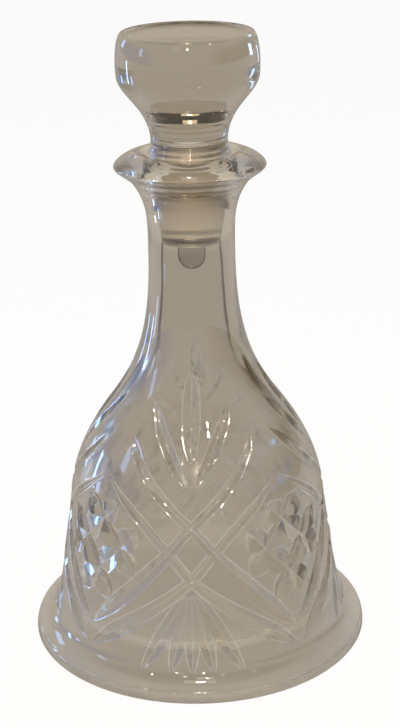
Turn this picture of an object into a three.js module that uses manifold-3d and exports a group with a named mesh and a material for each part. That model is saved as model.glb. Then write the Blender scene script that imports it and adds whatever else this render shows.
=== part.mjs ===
// Crystal carafe with a lift-out stopper: a bell-shaped body with a narrow neck and a flanged lip,
// and a solid stopper with a drum knob. Millimetres, +Z up, origin at the centre of the foot.

import * as THREE from "three";
import { mergeVertices } from "three/addons/utils/BufferGeometryUtils.js";
import Module from "manifold-3d";

const wasm = await Module();
wasm.setup();

// Outside of the body

const footRadius = 74;
const footBandHeight = 5;
const footBandDraft = 1.4;
const footRingWidth = 13;
const footEdge = 0.8;
const undersideRise = 3;
const undersideRamp = 4;
const footFlare = 10.1;
const bellLowInset = 2.7;
const bellHighInset = 8.3;
const bellRadius = footRadius - footFlare;
const flareTop = { height: 16, radius: bellRadius, slope: -0.28 };
const bellLow = { height: 30, radius: bellRadius - bellLowInset, slope: -0.14 };
const bellHigh = { height: 66, radius: bellRadius - bellHighInset, slope: -0.1 };
const shoulder = { height: 108, radius: 36.9, slope: -0.76 };
const neckBase = { height: 136, radius: 22.5, slope: -0.28 };
const rimHeight = 216.4;
const lipThickness = 5.6;
const collarBelowRim = 12.4;
const neckBelowRim = 36.4;
const neckThin = { height: rimHeight - neckBelowRim, radius: 18.2, slope: 0 };
const collar = { height: rimHeight - collarBelowRim, radius: 24, slope: 0.72 };
const footFlareSlope = -2.4;
const lipRadius = 31.5;
const lipHeight = rimHeight - lipThickness;
const lipUnderCurve = 3.5;
const lipEdgeDrop = 1.6;
const lipEdgeRise = 1.8;
const rimRadius = 20.6;
const rimShoulder = 5;

// Inside of the body

const baseThickness = 8;
const floorCorner = 10;
const floorPull = 0.6;
const floorReach = 1.4;
const bellWall = 6.5;
const shoulderWall = 8;
const throatWall = 6.4;
const throatSlope = -0.19;
const throat = { height: neckBase.height, radius: neckBase.radius - throatWall, slope: throatSlope };
const boreRadius = 12.8;
const boreSlope = -0.04;
const seatTaper = 0.06;
const seatDepth = 8.4;
const seatTop = rimHeight - seatDepth;
const seatBend = 0.6;
const seatBendHeight = 3.6;
const seatClearance = 0.3;

// Stopper

const plugLength = 30;
const plugEndBevel = 0.7;
const nubRadius = 5.8;
const nubLength = 11.2;
const collarRadius = 17.2;
const collarDrop = 1.6;
const collarCurve = 3;
const waist = { height: 4.4, radius: 15.8, slope: 0 };
const knobFlare = { height: 19.6, radius: 21.7, slope: 0.78 };
const knobLow = { height: 31.4, radius: 29.1, slope: 0.08 };
const knobHigh = { height: 42, radius: 28.9, slope: -0.12 };
const knobTop = 48.6;
const knobRimRadius = 26.4;
const knobRimRound = 1;
const knobRimPull = 0.6;
const dishDepth = 1.6;
const dishRim = 1.6;
const dishRimDrop = 1.1;

// Cut pattern: the same face four times round the body. Angles are degrees from the middle of a face.

const faces = 4;
const faceAngle = 360 / faces;
const facetSlope = 0.56;
const cutLift = 1.6;
const endLift = 0.25;

// Cross: two mitres to an arm, each running over the middle of the face
const crossHeight = 60;
const crossHalfHeight = 11;
const crossHalfAngle = 9.65;
const armWidth = 4.4;
const armFootWidth = 7.2;
const armGrowthStart = 0.45;
const armGrowthEnd = 0.9;
const armTopTaper = 0.12;
const armFootTaper = 0.1;
const armTipHeight = 104.5;
const armTipAngle = 38;
const outerArmFoot = 12.5;
const outerArmBends = { high: [22.5, 72.4], low: [-13, 38], lowest: [-27, 27] };
const innerArmBends = { high: [25, 92.3], low: [-22, 46.5] };

// Panel of diamonds between two crosses
const panelTop = 88;
const panelBottom = 21.5;
const panelCells = 3;
const panelInset = 3;
const panelMargin = 0.03;
const panelCutWidth = 11;
const panelCutTaper = 0.14;
const panelFacetSlope = 0.46;

// Leaves above and below a cross
const fanTipHeight = 129;
const fanFootHeight = 96;
const fanWidth = 8.4;
const leafPoint = 0.8;
const sideFanTipHeight = 117;
const sideFanTipAngle = 30;
const sideFanFootHeight = 86.6;
const sideFanFootAngle = 1.6;
const sideFanBow = 0.46;
const sideFanWidth = 5.4;
const footFanTop = 43;
const footFanBottom = 9;
const footFanWidth = 7;
const footFanGather = 0.12;
const footFanAngles = [-19.5, -8.2, 0, 8.2, 19.5];

// Fineness of the meshes

const turns = 40;
const stopperTurns = 28;
const armSteps = 8;
const leafSteps = 4;
const panelSteps = 4;
const slopeStep = 0.5;
const shareStep = 0.01;

// Radius at a height between two stations, on the cubic that has their radii and slopes at its ends
function between(low, high, height) {
  const span = high.height - low.height;
  const t = (height - low.height) / span;
  const start = low.radius * (1 + 2 * t) * (1 - t) ** 2 + span * low.slope * t * (1 - t) ** 2;
  const end = high.radius * t ** 2 * (3 - 2 * t) + span * high.slope * t ** 2 * (t - 1);
  return start + end;
}

function radiusAt(stations, height) {
  const last = stations.length - 2;
  let i = 0;
  while (i < last && height > stations[i + 1].height) i += 1;
  return between(stations[i], stations[i + 1], height);
}

const footTop = { height: footBandHeight, radius: footRadius - footBandDraft, slope: footFlareSlope };
const outside = [footTop, flareTop, bellLow, bellHigh, shoulder, neckBase, neckThin, collar];

const floorHeight = undersideRise + baseThickness;
const wallFoot = floorHeight + floorCorner;
const plugEnd = seatTop - plugLength;
const inside = [
  { height: wallFoot, radius: radiusAt(outside, wallFoot) - bellWall, slope: bellLow.slope },
  { height: bellHigh.height, radius: bellHigh.radius - bellWall, slope: bellHigh.slope },
  { height: shoulder.height, radius: shoulder.radius - shoulderWall, slope: shoulder.slope },
  throat,
  { height: plugEnd, radius: boreRadius, slope: boreSlope },
];

// Points of a wall from one station to the last, with a number of steps for each stretch
function wallPoints(stations, steps) {
  const points = [];
  steps.forEach((count, i) => {
    const low = stations[i];
    const high = stations[i + 1];
    for (let k = 0; k < count; k += 1) {
      const height = low.height + ((high.height - low.height) * k) / count;
      points.push(new THREE.Vector2(between(low, high, height), height));
    }
  });
  const end = stations[stations.length - 1];
  points.push(new THREE.Vector2(end.radius, end.height));
  return points;
}

function bezier(steps, ...corners) {
  const [a, b, c, d] = corners.map(([r, z]) => new THREE.Vector2(r, z));
  return new THREE.CubicBezierCurve(a, b, c, d).getPoints(steps);
}

// Funnel of the mouth, or with no gap the part of the stopper that sits in it
function seatCurve(gap, steps) {
  const seat = boreRadius + seatTaper * plugLength - seatClearance + gap;
  const edge = collarRadius + gap;
  const top = rimHeight - collarDrop;
  return bezier(
    steps,
    [seat, seatTop - gap],
    [seat + seatBend, seatTop + seatBendHeight - gap],
    [edge - collarCurve, top - gap],
    [edge, top - gap],
  );
}

function turned(points, segments) {
  const geometry = new THREE.LatheGeometry(points, segments);
  geometry.rotateX(Math.PI / 2);
  return geometry;
}

// Closed mesh with shared corners, without the triangles that shrink to nothing on the axis
function closedMesh(geometry) {
  geometry.deleteAttribute("normal");
  geometry.deleteAttribute("uv");
  const merged = mergeVertices(geometry, 1e-4);
  const index = merged.index.array;
  const kept = [];
  for (let i = 0; i < index.length; i += 3) {
    const [a, b, c] = [index[i], index[i + 1], index[i + 2]];
    if (a !== b && b !== c && c !== a) kept.push(a, b, c);
  }
  merged.setIndex(kept);
  return merged;
}

function toSolid(geometry) {
  const mesh = closedMesh(geometry);
  return new wasm.Manifold(new wasm.Mesh({
    numProp: 3,
    vertProperties: new Float32Array(mesh.attributes.position.array),
    triVerts: new Uint32Array(mesh.index.array),
  }));
}

function toGeometry(solid) {
  const mesh = solid.getMesh();
  const geometry = new THREE.BufferGeometry();
  geometry.setAttribute("position", new THREE.BufferAttribute(mesh.vertProperties, 3));
  geometry.setIndex(new THREE.BufferAttribute(mesh.triVerts, 1));
  geometry.computeVertexNormals();
  return geometry;
}

// Point of the outside at an azimuth in degrees, with the way out of the glass there
function onWall(angle, height) {
  const radius = radiusAt(outside, height);
  const above = radiusAt(outside, height + slopeStep);
  const below = radiusAt(outside, height - slopeStep);
  const slope = (above - below) / (2 * slopeStep);
  const turn = THREE.MathUtils.degToRad(angle - 90);
  const out = new THREE.Vector3(Math.cos(turn), Math.sin(turn), -slope).normalize();
  const point = new THREE.Vector3(radius * Math.cos(turn), radius * Math.sin(turn), height);
  return { point, out };
}

// Solid that a mitre wheel takes away along a line of [azimuth, height] points. The half width at a
// share of the way is given by a function, and the depth follows from the slope of the facets.
function mitreCutter(line, halfWidth, steps, facet = facetSlope) {
  const curve = new THREE.SplineCurve(line.map(([angle, height]) => new THREE.Vector2(angle, height)));
  const corners = [];
  for (let k = 0; k <= steps; k += 1) {
    const share = k / steps;
    const here = curve.getPoint(share);
    const { point, out } = onWall(here.x, here.y);
    const before = curve.getPoint(Math.max(share - shareStep, 0));
    const after = curve.getPoint(Math.min(share + shareStep, 1));
    const along = onWall(after.x, after.y).point.sub(onWall(before.x, before.y).point);
    const side = new THREE.Vector3().crossVectors(out, along).normalize();
    const half = halfWidth(share);
    const reach = half + cutLift / facet;
    corners.push(
      point.clone().addScaledVector(out, -half * facet),
      point.clone().addScaledVector(out, cutLift).addScaledVector(side, reach),
      point.clone().addScaledVector(out, cutLift).addScaledVector(side, -reach),
    );
  }
  const faceList = [0, 2, 1];
  for (let k = 0; k < steps; k += 1) {
    for (let i = 0; i < 3; i += 1) {
      const a = 3 * k + i;
      const b = 3 * k + ((i + 1) % 3);
      faceList.push(a, b, a + 3, b, b + 3, a + 3);
    }
  }
  faceList.push(3 * steps, 3 * steps + 1, 3 * steps + 2);
  const geometry = new THREE.BufferGeometry().setFromPoints(corners);
  geometry.setIndex(faceList);
  return toSolid(geometry);
}

// Half widths along a cut, which ends a little above the glass so that it runs out to a point
function leaf(width) {
  return (share) => (width / 2 + endLift) * Math.sin(Math.PI * share) ** leafPoint - endLift;
}

function fading(width, endShare) {
  return (share) => {
    const end = Math.min(share, 1 - share) / endShare;
    return (width / 2 + endLift) * Math.min(1, end) - endLift;
  };
}

function widening(width, footWidth) {
  return (share) => {
    const growth = THREE.MathUtils.smoothstep(share, armGrowthStart, armGrowthEnd);
    const grown = width + (footWidth - width) * growth;
    const end = Math.min(1, share / armTopTaper, (1 - share) / armFootTaper);
    return (grown / 2 + endLift) * end - endLift;
  };
}

// Cuts of the cross on one face: two mitres a side, which run on to the other side below
function crossCuts(centre, side) {
  const at = (angle, height) => [centre + side * angle, height];
  const outer = [
    at(faceAngle / 2, panelTop),
    at(...outerArmBends.high),
    at(crossHalfAngle, crossHeight),
    at(0, crossHeight - crossHalfHeight),
    at(...outerArmBends.low),
    at(...outerArmBends.lowest),
    at(-faceAngle / 2, outerArmFoot),
  ];
  const inner = [
    at(armTipAngle, armTipHeight),
    at(...innerArmBends.high),
    at(0, crossHeight + crossHalfHeight),
    at(-crossHalfAngle, crossHeight),
    at(...innerArmBends.low),
    at(-faceAngle / 2, panelBottom),
  ];
  return [
    mitreCutter(outer, widening(armWidth, armFootWidth), armSteps),
    mitreCutter(inner, widening(armWidth, armFootWidth), armSteps),
  ];
}

// Leaves above and below the cross on one face
function fanCuts(centre) {
  const at = (angle, height) => [centre + angle, height];
  const cuts = [mitreCutter([at(0, fanFootHeight), at(0, fanTipHeight)], leaf(fanWidth), leafSteps)];
  for (const side of [-1, 1]) {
    const line = [
      at(side * sideFanFootAngle, sideFanFootHeight),
      at(side * sideFanBow * sideFanTipAngle, (sideFanFootHeight + sideFanTipHeight) / 2),
      at(side * sideFanTipAngle, sideFanTipHeight),
    ];
    cuts.push(mitreCutter(line, leaf(sideFanWidth), leafSteps));
  }
  for (const angle of footFanAngles) {
    const line = [at(angle * footFanGather, footFanTop), at(angle, footFanBottom)];
    cuts.push(mitreCutter(line, leaf(footFanWidth), leafSteps));
  }
  return cuts;
}

// Two families of mitres that leave rows of raised diamonds between the crosses
function panelCuts(centre) {
  const reach = faceAngle / 2 - crossHalfAngle - panelInset;
  const corner = {
    left: [centre - reach, crossHeight],
    top: [centre, panelTop],
    bottom: [centre, panelBottom],
    right: [centre + reach, crossHeight],
  };
  const spot = (u, v) => [0, 1].map((i) => {
    const near = corner.left[i] * (1 - u) + corner.top[i] * u;
    const far = corner.bottom[i] * (1 - u) + corner.right[i] * u;
    return near * (1 - v) + far * v;
  });
  const way = [0, 1, 2, 3].map((k) => panelMargin + ((1 - 2 * panelMargin) * k) / 3);
  const halfWidth = fading(panelCutWidth, panelCutTaper);
  const cuts = [];
  for (let i = 1; i < panelCells; i += 1) {
    const share = i / panelCells;
    const rising = way.map((along) => spot(along, share));
    const falling = way.map((along) => spot(share, along));
    cuts.push(mitreCutter(rising, halfWidth, panelSteps, panelFacetSlope));
    cuts.push(mitreCutter(falling, halfWidth, panelSteps, panelFacetSlope));
  }
  return cuts;
}

function carafeGeometry() {
  const footInner = footRadius - footRingWidth;
  const corner = inside[0].radius;
  const lowerLip = bezier(
    3,
    [collar.radius, collar.height],
    [collar.radius + lipUnderCurve * collar.slope, collar.height + lipUnderCurve],
    [lipRadius, lipHeight - lipEdgeDrop],
    [lipRadius, lipHeight],
  );
  const upperLip = bezier(
    4,
    [lipRadius, lipHeight],
    [lipRadius, lipHeight + lipEdgeRise],
    [rimRadius + rimShoulder, rimHeight],
    [rimRadius, rimHeight],
  );
  const floor = bezier(
    4,
    [corner, wallFoot],
    [corner, wallFoot - floorCorner * floorPull],
    [corner - floorCorner * floorPull, floorHeight],
    [corner - floorCorner * floorReach, floorHeight],
  );
  const points = [
    new THREE.Vector2(0, undersideRise),
    new THREE.Vector2(footInner - undersideRamp, undersideRise / 2),
    new THREE.Vector2(footInner, 0),
    new THREE.Vector2(footRadius - footEdge, 0),
    new THREE.Vector2(footRadius, footEdge),
    ...wallPoints(outside, [3, 1, 2, 4, 3, 2, 3]),
    ...lowerLip.slice(1),
    ...upperLip.slice(1),
    ...seatCurve(seatClearance, 3).reverse(),
    ...wallPoints(inside, [1, 3, 4, 1]).reverse(),
    ...floor.slice(1),
    new THREE.Vector2(0, floorHeight),
  ];
  let glass = toSolid(turned(points, turns));
  for (let face = 0; face < faces; face += 1) {
    const centre = face * faceAngle;
    const cuts = [
      ...crossCuts(centre, 1),
      ...crossCuts(centre, -1),
      ...fanCuts(centre),
      ...panelCuts(centre + faceAngle / 2),
    ];
    for (const cut of cuts) glass = glass.subtract(cut);
  }
  return toGeometry(glass);
}

function stopperGeometry() {
  const plugTip = boreRadius - seatClearance;
  const top = rimHeight + knobTop;
  const nubCentre = plugEnd - nubLength + nubRadius;
  const nub = new THREE.EllipseCurve(0, nubCentre, nubRadius, nubRadius, -Math.PI / 2, 0);
  const stations = [waist, knobFlare, knobLow, knobHigh];
  const knob = stations.map((station) => ({ ...station, height: rimHeight + station.height }));
  const rise = top - knob[3].height;
  const rim = bezier(
    4,
    [knobHigh.radius, knob[3].height],
    [knobHigh.radius + knobRimPull * rise * knobHigh.slope, knob[3].height + knobRimPull * rise],
    [knobRimRadius + knobRimRound, top],
    [knobRimRadius, top],
  );
  const points = [
    ...nub.getPoints(4),
    new THREE.Vector2(nubRadius, plugEnd),
    new THREE.Vector2(plugTip - plugEndBevel, plugEnd),
    new THREE.Vector2(plugTip, plugEnd + plugEndBevel),
    ...seatCurve(0, 3),
    new THREE.Vector2(collarRadius, rimHeight),
    ...wallPoints(knob, [3, 3, 1]),
    ...rim.slice(1),
    new THREE.Vector2(knobRimRadius - dishRim, top - dishRimDrop),
    new THREE.Vector2(0, top - dishDepth),
  ];
  return closedMesh(turned(points, stopperTurns));
}

function crystal(tint) {
  return new THREE.MeshStandardMaterial({
    color: tint,
    roughness: 0.04,
    metalness: 0,
    transparent: true,
    opacity: 0.4,
  });
}

function named(name, geometry, material) {
  const mesh = new THREE.Mesh(geometry, material);
  mesh.name = name;
  return mesh;
}

const group = new THREE.Group();
group.add(named("carafe", carafeGeometry(), crystal(0xd8cfba)));
group.add(named("stopper", stopperGeometry(), crystal(0xd2c8b0)));

export default group;
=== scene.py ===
"""Looks of a cut crystal carafe and its stopper: the glass, the table, the lamps and the camera."""

import math

import bmesh
import bpy
from bpy.props import FloatProperty, FloatVectorProperty, PointerProperty
from mathutils import Euler, Matrix, Vector


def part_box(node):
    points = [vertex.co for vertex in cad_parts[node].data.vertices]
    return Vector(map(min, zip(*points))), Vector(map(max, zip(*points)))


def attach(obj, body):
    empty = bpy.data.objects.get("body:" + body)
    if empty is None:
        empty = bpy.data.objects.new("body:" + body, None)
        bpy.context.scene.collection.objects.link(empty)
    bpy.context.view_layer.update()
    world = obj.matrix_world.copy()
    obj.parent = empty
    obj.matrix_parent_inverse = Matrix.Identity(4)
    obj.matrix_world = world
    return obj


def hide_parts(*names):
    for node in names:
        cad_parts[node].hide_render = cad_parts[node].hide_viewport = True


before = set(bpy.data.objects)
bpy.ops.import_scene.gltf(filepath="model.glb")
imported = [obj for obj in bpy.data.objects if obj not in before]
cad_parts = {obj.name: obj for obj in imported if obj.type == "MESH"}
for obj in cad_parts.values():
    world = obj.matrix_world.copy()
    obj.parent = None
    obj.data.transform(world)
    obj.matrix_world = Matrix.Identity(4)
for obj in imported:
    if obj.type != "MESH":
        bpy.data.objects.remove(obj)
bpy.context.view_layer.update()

bl_info = {
    "name": "Crystal carafe",
    "version": (1, 0, 0),
    "blender": (4, 5, 0),
    "location": "3D View > Sidebar > Carafe",
    "description": "Cut glass carafe with a stopper, on a pale table",
    "category": "Object",
}

BODY_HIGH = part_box("carafe")[1]
STOPPER_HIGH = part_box("stopper")[1]

FACES = 4
FACE_ANGLE = 360 / FACES


# Property groups


class CarafeBody(bpy.types.PropertyGroup):
    """Sizes of the body"""

    foot_radius: FloatProperty(
        name="Foot radius",
        description="Radius of the foot where it is widest",
        default=BODY_HIGH.x,
        min=0.068,
        max=0.09,
        unit="LENGTH",
    )
    rim_height: FloatProperty(
        name="Rim height",
        description="Height of the rim above the table",
        default=BODY_HIGH.z,
        min=0.2,
        max=0.24,
        unit="LENGTH",
    )
    lip_radius: FloatProperty(
        name="Lip radius",
        description="Radius of the lip where it is widest",
        default=0.0315,
        min=0.028,
        max=0.036,
        unit="LENGTH",
    )
    neck_radius: FloatProperty(
        name="Neck radius",
        description="Outside radius of the neck where it is thinnest",
        default=0.0182,
        min=0.015,
        max=0.021,
        unit="LENGTH",
    )
    bore_radius: FloatProperty(
        name="Bore radius",
        description="Radius of the bore at the end of the plug",
        default=0.0128,
        min=0.011,
        max=0.0135,
        unit="LENGTH",
    )
    bell_wall: FloatProperty(
        name="Bell wall",
        description="Thickness of the glass in the bell",
        default=0.0065,
        min=0.004,
        max=0.008,
        unit="LENGTH",
    )


class CarafeCuts(bpy.types.PropertyGroup):
    """Sizes of the mitre cuts"""

    arm_width: FloatProperty(
        name="Arm width",
        description="Width of a cut of the cross above the crossing",
        default=0.0044,
        min=0.003,
        max=0.006,
        unit="LENGTH",
    )
    arm_foot_width: FloatProperty(
        name="Arm foot width",
        description="Width of a cut of the cross near the foot",
        default=0.0072,
        min=0.004,
        max=0.009,
        unit="LENGTH",
    )
    leaf_width: FloatProperty(
        name="Leaf width",
        description="Width of the middle leaf above a cross",
        default=0.0084,
        min=0.004,
        max=0.011,
        unit="LENGTH",
    )
    side_leaf_width: FloatProperty(
        name="Side leaf width",
        description="Width of a leaf beside the middle one",
        default=0.0054,
        min=0.003,
        max=0.008,
        unit="LENGTH",
    )
    foot_leaf_width: FloatProperty(
        name="Foot leaf width",
        description="Width of a leaf under a cross",
        default=0.007,
        min=0.003,
        max=0.009,
        unit="LENGTH",
    )
    panel_width: FloatProperty(
        name="Panel cut width",
        description="Width of a cut between the raised diamonds",
        default=0.011,
        min=0.006,
        max=0.013,
        unit="LENGTH",
    )
    facet: FloatProperty(
        name="Facet slope",
        description="Depth of a cut for each unit of its half width",
        default=0.56,
        min=0.3,
        max=0.9,
    )
    panel_facet: FloatProperty(
        name="Panel facet slope",
        description="Depth of a panel cut for each unit of its half width",
        default=0.46,
        min=0.3,
        max=0.6,
    )


class CarafeStopper(bpy.types.PropertyGroup):
    """Sizes of the stopper"""

    knob_radius: FloatProperty(
        name="Knob radius",
        description="Radius of the knob where it is widest",
        default=STOPPER_HIGH.x,
        min=0.025,
        max=0.033,
        unit="LENGTH",
    )
    plug_length: FloatProperty(
        name="Plug length",
        description="Length of the plug below the seat",
        default=0.03,
        min=0.02,
        max=0.036,
        unit="LENGTH",
    )
    dish_depth: FloatProperty(
        name="Dish depth",
        description="Depth of the hollow in the top of the knob",
        default=0.0016,
        min=0,
        max=0.004,
        unit="LENGTH",
    )


class CarafeGlass(bpy.types.PropertyGroup):
    """Finish of the glass"""

    body_tint: FloatVectorProperty(
        name="Body tint",
        description="Colour that light takes on as it goes in and out of the body",
        subtype="COLOR",
        size=3,
        default=(0.338, 0.285, 0.216),
        min=0,
        max=1,
    )
    stopper_tint: FloatVectorProperty(
        name="Stopper tint",
        description="Colour that light takes on in the stopper",
        subtype="COLOR",
        size=3,
        default=(0.335, 0.28, 0.21),
        min=0,
        max=1,
    )
    ground_peg: FloatProperty(
        name="Ground peg",
        description="Roughness that grinding leaves on the plug's side",
        default=0.12,
        min=0,
        max=1,
    )
    floor_haze: FloatProperty(
        name="Floor haze",
        description="Cloudiness that drink leaves on the floor of the hollow",
        default=0.3,
        min=0,
        max=1,
    )
    # Painted shade: a brown film that darkens the glass where it is seen edge on.
    rim_shade: FloatProperty(
        name="Rim film",
        description="How much the grime of use dulls the glass where it is seen edge on",
        default=0.85,
        min=0,
        max=1,
    )
    ripple: FloatProperty(
        name="Ripple",
        description="Strength of the slow waves that moulding leaves in the surface",
        default=0.25,
        min=0,
        max=1,
    )
    haze: FloatProperty(
        name="Haze",
        description="Roughness of the smears and wear on the polished glass",
        default=0.1,
        min=0,
        max=0.3,
    )
    inner_haze: FloatProperty(
        name="Inner haze",
        description="Roughness of the surface round the drink, which no polish reaches",
        default=0.12,
        min=0,
        max=0.4,
    )
    edge_gleam: FloatProperty(
        name="Edge gleam",
        description="How strongly the eased edges of the cuts catch the light",
        default=1.0,
        min=0,
        max=1,
    )
    foot_haze: FloatProperty(
        name="Foot haze",
        description="Roughness of the ground underside of the foot",
        default=0.5,
        min=0,
        max=1,
    )


class CarafeStudio(bpy.types.PropertyGroup):
    """Table and lamps"""

    table_colour: FloatVectorProperty(
        name="Table colour",
        description="Colour of the table",
        subtype="COLOR",
        size=3,
        default=(0.86, 0.86, 0.86),
        min=0,
        max=1,
    )
    window_colour: FloatVectorProperty(
        name="Window colour",
        description="Colour of the daylight from the left",
        subtype="COLOR",
        size=3,
        default=(0.3, 0.52, 1.0),
        min=0,
        max=1,
    )
    lamp_colour: FloatVectorProperty(
        name="Lamp colour",
        description="Colour of the lamps overhead",
        subtype="COLOR",
        size=3,
        default=(1.0, 0.9, 0.74),
        min=0,
        max=1,
    )
    room_light: FloatProperty(
        name="Room light",
        description="Strength of the light from all round",
        default=0.6,
        min=0,
        max=1,
    )


# Sizes of the body that follow from its form, in metres

FOOT_BAND_HEIGHT = 0.005
FOOT_BAND_DRAFT = 0.0014
FOOT_RING_WIDTH = 0.013
FOOT_EDGE = 0.0008
FOOT_EDGE_PULL = 0.0003
FOOT_BOW_HEIGHT = 0.0026
FOOT_BOW_REACH = 0.0008
FOOT_BOW_DROP = 0.0006
UNDERSIDE_RISE = 0.003
UNDERSIDE_RAMP = 0.004
FOOT_FLARE = 0.0101
FOOT_FLARE_SLOPE = -2.4
FLARE_TOP_HEIGHT, FLARE_TOP_SLOPE = 0.016, -0.28
BELL_LOW_HEIGHT, BELL_LOW_INSET, BELL_LOW_SLOPE = 0.03, 0.0027, -0.14
BELL_HIGH_HEIGHT, BELL_HIGH_INSET, BELL_HIGH_SLOPE = 0.066, 0.0083, -0.1
SHOULDER_HEIGHT, SHOULDER_RADIUS, SHOULDER_SLOPE = 0.108, 0.0369, -0.76
NECK_BASE_HEIGHT, NECK_BASE_RADIUS, NECK_BASE_SLOPE = 0.136, 0.0225, -0.28
NECK_BELOW_RIM = 0.0364
COLLAR_BELOW_RIM = 0.0124
COLLAR_OUTSIDE, COLLAR_SLOPE = 0.024, 0.72
LIP_THICKNESS = 0.0056
LIP_UNDER_CURVE = 0.0035
LIP_EDGE_DROP = 0.0016
LIP_EDGE_RISE = 0.0018
RIM_RADIUS = 0.0206
RIM_SHOULDER = 0.005
BASE_THICKNESS = 0.008
FLOOR_CORNER = 0.01
FLOOR_PULL = 0.6
FLOOR_REACH = 1.4
SHOULDER_WALL = 0.008
THROAT_WALL = 0.0064
THROAT_SLOPE = -0.19
BORE_SLOPE = -0.04

# Sizes of the mouth and of the stopper

SEAT_DEPTH = 0.0084
SEAT_TAPER = 0.06
SEAT_BEND = 0.0006
SEAT_BEND_HEIGHT = 0.0036
SEAT_CLEARANCE = 0.0003
COLLAR_RADIUS = 0.0172
COLLAR_DROP = 0.0016
COLLAR_CURVE = 0.003
PLUG_END_PULL = 0.001
PLUG_END_ROUND = 0.0028
NUB_RADIUS = 0.0058
NUB_LENGTH = 0.0112
WAIST_HEIGHT, WAIST_RADIUS = 0.0044, 0.0158
KNOB_FLARE_HEIGHT, KNOB_FLARE_RADIUS, KNOB_FLARE_SLOPE = 0.0196, 0.0217, 0.78
KNOB_LOW_HEIGHT, KNOB_LOW_SLOPE = 0.0314, 0.08
KNOB_HIGH_HEIGHT, KNOB_HIGH_INSET, KNOB_HIGH_SLOPE = 0.042, 0.0002, -0.12
KNOB_TOP = 0.0486
KNOB_RIM_INSET = 0.0027
KNOB_RIM_ROUND = 0.001
KNOB_RIM_PULL = 0.6
DISH_RIM = 0.0016
DISH_RIM_DROP = 0.0011

# Pattern of one face, as points of azimuth in degrees and height

CROSS_HEIGHT = 0.06
CROSS_HALF_HEIGHT = 0.011
CROSS_ANGLE = 9.65
PANEL_TOP = 0.088
PANEL_BOTTOM = 0.0215
OUTER_ARM = (
    (FACE_ANGLE / 2, PANEL_TOP),
    (22.5, 0.0724),
    (CROSS_ANGLE, CROSS_HEIGHT),
    (0, CROSS_HEIGHT - CROSS_HALF_HEIGHT),
    (-13, 0.038),
    (-27, 0.027),
    (-FACE_ANGLE / 2, 0.0125),
)
INNER_ARM = (
    (38, 0.1045),
    (25, 0.0923),
    (0, CROSS_HEIGHT + CROSS_HALF_HEIGHT),
    (-CROSS_ANGLE, CROSS_HEIGHT),
    (-22, 0.0465),
    (-FACE_ANGLE / 2, PANEL_BOTTOM),
)
MIDDLE_LEAF = ((0, 0.096), (0, 0.129))
SIDE_LEAF = ((1.6, 0.0866), (13.8, 0.1018), (30, 0.117))
FOOT_LEAF_ANGLES = (-19.5, -8.2, 0, 8.2, 19.5)
FOOT_LEAF_TOP = 0.043
FOOT_LEAF_BOTTOM = 0.009
FOOT_LEAF_GATHER = 0.12
PANEL_CELLS = 3
PANEL_INSET = 3
PANEL_MARGIN = 0.03

# Shape of a cut: widths in metres, and places as shares of its length

CUT_LIFT = 0.0016
END_LIFT = 0.00025
EASE = 0.0003
VALLEY = 0.0003
EASE_FROM = 0.0012
EASE_LEAST = 0.1
EDGE_FROM_VALLEY = 1.5
FLAT_BEND = 1.0
LEAF_POINT = 0.8
ARM_GROWTH_START = 0.45
ARM_GROWTH = 0.45
ARM_TOP_TAPER = 0.12
ARM_FOOT_TAPER = 0.1
PANEL_CUT_TAPER = 0.14
SECTION_CORNERS = 10

# Gleam of the strips between two corners of the section: its eased edges, and less the valley

EDGE_STRIPS = {(1, 2): 1.0, (7, 8): 1.0, (3, 4): 0.5, (4, 5): 0.5, (5, 6): 0.5}

# Fineness of the meshes, and limits of what counts as the same, inside or smooth

TURNS = 192
CURVE_STEPS = 14
OUTER_STEPS = (14, 8, 14, 20, 14, 14, 12)
INNER_STEPS = (14, 16, 12, 6)
KNOB_STEPS = (14, 12, 6)
LIP_STEPS = 12
PLUG_END_STEPS = 10
FOOT_BOW_STEPS = 6
FOOT_EDGE_STEPS = 5
ARM_STEPS = 48
LEAF_STEPS = 24
SLOPE_STEP = 0.0005
SHARE_STEP = 0.01
MERGE_WITHIN = 2e-6
INSIDE_MARGIN = 0.0008
SMOOTH_ANGLE = 24


# Turned shapes and cuts


class Wall:
    """A turned wall, with a cubic between each two stations of (height, radius, slope)."""

    def __init__(self, stations):
        self.stations = stations

    def radius(self, height):
        """Radius at a height, which may lie a little past the first or last station."""
        last = len(self.stations) - 2
        i = 0
        while i < last and height > self.stations[i + 1][0]:
            i += 1
        (low, r_low, s_low), (high, r_high, s_high) = self.stations[i : i + 2]
        span = high - low
        t = (height - low) / span
        start = r_low * (1 + 2 * t) * (1 - t) ** 2 + span * s_low * t * (1 - t) ** 2
        end = r_high * t**2 * (3 - 2 * t) + span * s_high * t**2 * (t - 1)
        return start + end

    def outline(self, steps):
        """Points of (radius, height) from the first station to the last."""
        points = []
        for (low, *_), (high, *_), count in zip(self.stations, self.stations[1:], steps):
            for k in range(count):
                height = low + (high - low) * k / count
                points.append((self.radius(height), height))
        height, radius, _ = self.stations[-1]
        points.append((radius, height))
        return points

    def spot(self, angle, height):
        """Point at an azimuth in degrees, with the way out of the glass there."""
        radius = self.radius(height)
        above, below = self.radius(height + SLOPE_STEP), self.radius(height - SLOPE_STEP)
        slope = (above - below) / (2 * SLOPE_STEP)
        turn = math.radians(angle - 90)
        out = Vector((math.cos(turn), math.sin(turn), -slope)).normalized()
        return Vector((radius * math.cos(turn), radius * math.sin(turn), height)), out


def bezier(steps, a, b, c, d):
    """Points of (radius, height) on a curve that starts at a, ends at d and bends to b and c."""
    points = []
    for k in range(steps + 1):
        t = k / steps
        weights = ((1 - t) ** 3, 3 * t * (1 - t) ** 2, 3 * t**2 * (1 - t), t**3)
        points.append(tuple(sum(w * p[i] for w, p in zip(weights, (a, b, c, d))) for i in (0, 1)))
    return points


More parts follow.
